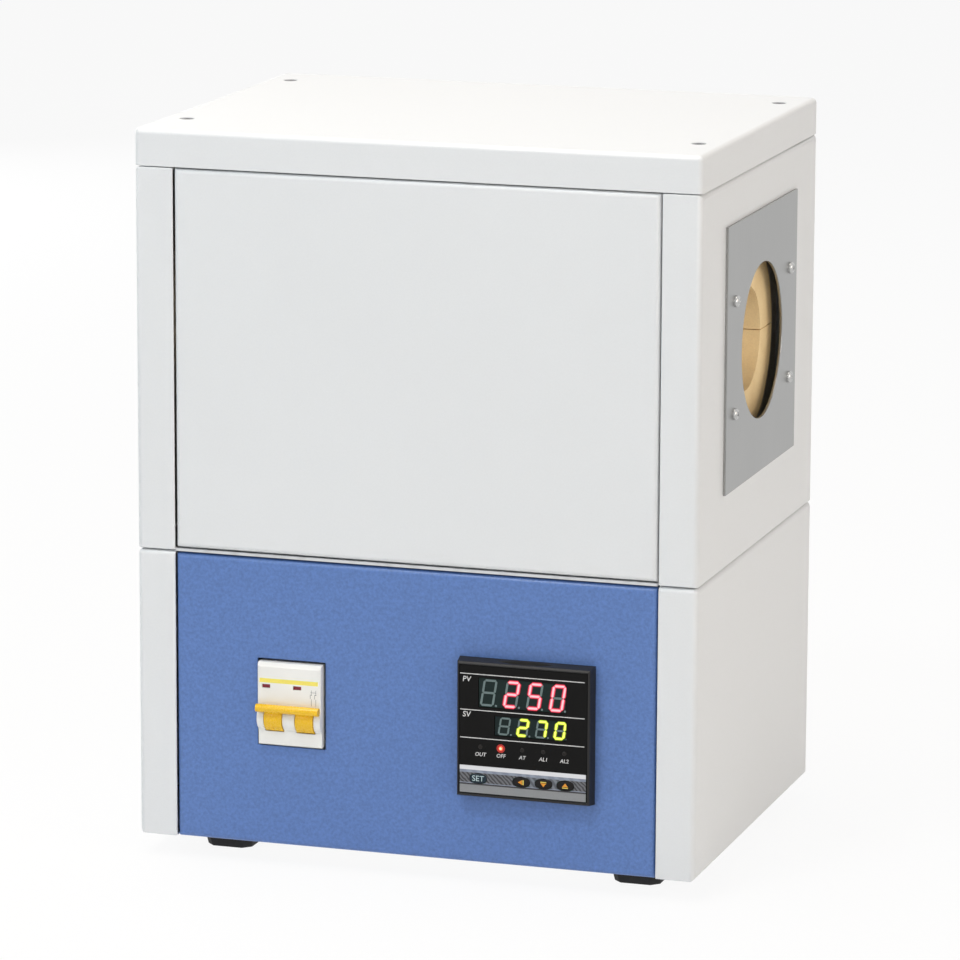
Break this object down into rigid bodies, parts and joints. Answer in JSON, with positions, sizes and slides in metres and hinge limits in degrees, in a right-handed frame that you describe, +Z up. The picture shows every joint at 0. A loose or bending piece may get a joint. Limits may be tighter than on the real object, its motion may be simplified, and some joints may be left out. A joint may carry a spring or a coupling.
{
  "type": "tube furnace",
  "caption": "Bench-top tube furnace: a white sheet-metal case over a blue control box, with a split ceramic heater bore through both sides.",
  "frame": {"origin": "on the floor, under the middle of the whole outline", "axes": "+Z up, control panel facing -Y, heater bore along X, +X to the right of someone facing the panel"},
  "size_m": [0.3182, 0.251, 0.3949],
  "materials": {
    "white_paint": "fine powder coat, satin",
    "blue_paint": "fine textured powder coat, satin",
    "zinc_sheet": "zinc-plated sheet, dull",
    "stainless": "brushed stainless sheet",
    "bright_screws": "bright plated",
    "dark_screws": "blackened steel",
    "foot_rubber": "matt moulded rubber",
    "fibre_block": "pressed ceramic fibre board",
    "refractory": "cast fibrous refractory, tan",
    "heating_alloy": "oxidised resistance alloy",
    "sheath_ceramic": "dense ceramic",
    "breaker_white": "satin moulded plastic",
    "breaker_yellow": "satin moulded plastic",
    "breaker_red": "moulded plastic",
    "black_plastic": "fine spark texture",
    "face_film": "smooth dark film",
    "display_red": "numeric display with lit digits",
    "display_green": "numeric display with lit digits",
    "lamp_red": "small indicator lens",
    "key_plastic": "rubber-touch key",
    "circuit_board": "solder mask",
    "sink_aluminium": "extruded, satin",
    "relay_plastic": "moulded plastic",
    "strip_plastic": "moulded plastic",
    "pin_brass": "plated brass"
  },
  "bodies": {
    "furnace": {"base_plate": "zinc_sheet", "bore_plate_left": "stainless", "bore_plate_right": "stainless", "bore_plate_screws": "bright_screws", "breaker_housing": "breaker_white", "collar_left_lower": "refractory", "collar_left_upper": "refractory", "collar_right_lower": "refractory", "collar_right_upper": "refractory", "control_panel": "blue_paint", "controller_bezel": "black_plastic", "controller_case": "black_plastic", "controller_clamps": "black_plastic", "controller_face": "face_film", "cover_rail_left": "zinc_sheet", "cover_rail_right": "zinc_sheet", "cover_screws": "dark_screws", "din_rail": "zinc_sheet", "display_board": "circuit_board", "display_pv": "display_red", "display_sv": "display_green", "foot_front_left": "foot_rubber", "foot_front_right": "foot_rubber", "foot_rear_left": "foot_rubber", "foot_rear_right": "foot_rubber", "heat_sink": "sink_aluminium", "heater_shell_lower": "refractory", "heater_shell_upper": "refractory", "heating_element_lower": "heating_alloy", "heating_element_upper": "heating_alloy", "indicator_lamps": "lamp_red", "inlet_pins": "pin_brass", "inlet_screws": "bright_screws", "insulation_lower": "fibre_block", "insulation_upper": "fibre_block", "lower_rear_cover": "white_paint", "lower_side_left": "white_paint", "lower_side_right": "white_paint", "mains_inlet": "black_plastic", "mid_deck": "zinc_sheet", "rail_bracket": "zinc_sheet", "rear_cover_screws": "bright_screws", "solid_state_relay": "relay_plastic", "tail_blocks": "refractory", "terminal_strip": "strip_plastic", "thermocouple": "sheath_ceramic", "top_cover": "white_paint", "upper_front_panel": "white_paint", "upper_rear_cover": "white_paint", "upper_side_left": "white_paint", "upper_side_right": "white_paint"},
    "toggle": {"breaker_lever_left": "breaker_yellow", "breaker_lever_right": "breaker_yellow", "breaker_tie_bar": "breaker_yellow"},
    "flag_left": {"breaker_flag_left": "breaker_red"},
    "flag_right": {"breaker_flag_right": "breaker_red"},
    "key_set": {"key_set": "key_plastic"},
    "key_shift": {"key_shift": "key_plastic"},
    "key_down": {"key_down": "key_plastic"},
    "key_up": {"key_up": "key_plastic"}
  },
  "joints": [
    {"name": "breaker_toggle", "type": "hinge", "parent": "furnace", "child": "toggle", "pos_m": [-0.0681, -0.11515, 0.0821], "axis": [1, 0, 0], "range_deg": [0, 70]},
    {"name": "flag_left_slide", "type": "slide", "parent": "furnace", "child": "flag_left", "axis": [0, 0, -1], "range_m": [0, 0.00242]},
    {"name": "flag_right_slide", "type": "slide", "parent": "furnace", "child": "flag_right", "axis": [0, 0, -1], "range_m": [0, 0.00242]},
    {"name": "key_set_press", "type": "slide", "parent": "furnace", "child": "key_set", "axis": [0, 1, 0], "range_m": [0, 0.0005], "stiffness_N_per_m": 400},
    {"name": "key_shift_press", "type": "slide", "parent": "furnace", "child": "key_shift", "axis": [0, 1, 0], "range_m": [0, 0.0005], "stiffness_N_per_m": 400},
    {"name": "key_down_press", "type": "slide", "parent": "furnace", "child": "key_down", "axis": [0, 1, 0], "range_m": [0, 0.0005], "stiffness_N_per_m": 400},
    {"name": "key_up_press", "type": "slide", "parent": "furnace", "child": "key_up", "axis": [0, 1, 0], "range_m": [0, 0.0005], "stiffness_N_per_m": 400}
  ],
  "couplings": [
    {"joint": "flag_left_slide", "follows": "breaker_toggle", "m_per_rad": 0.00198},
    {"joint": "flag_right_slide", "follows": "breaker_toggle", "m_per_rad": 0.00198}
  ]
}
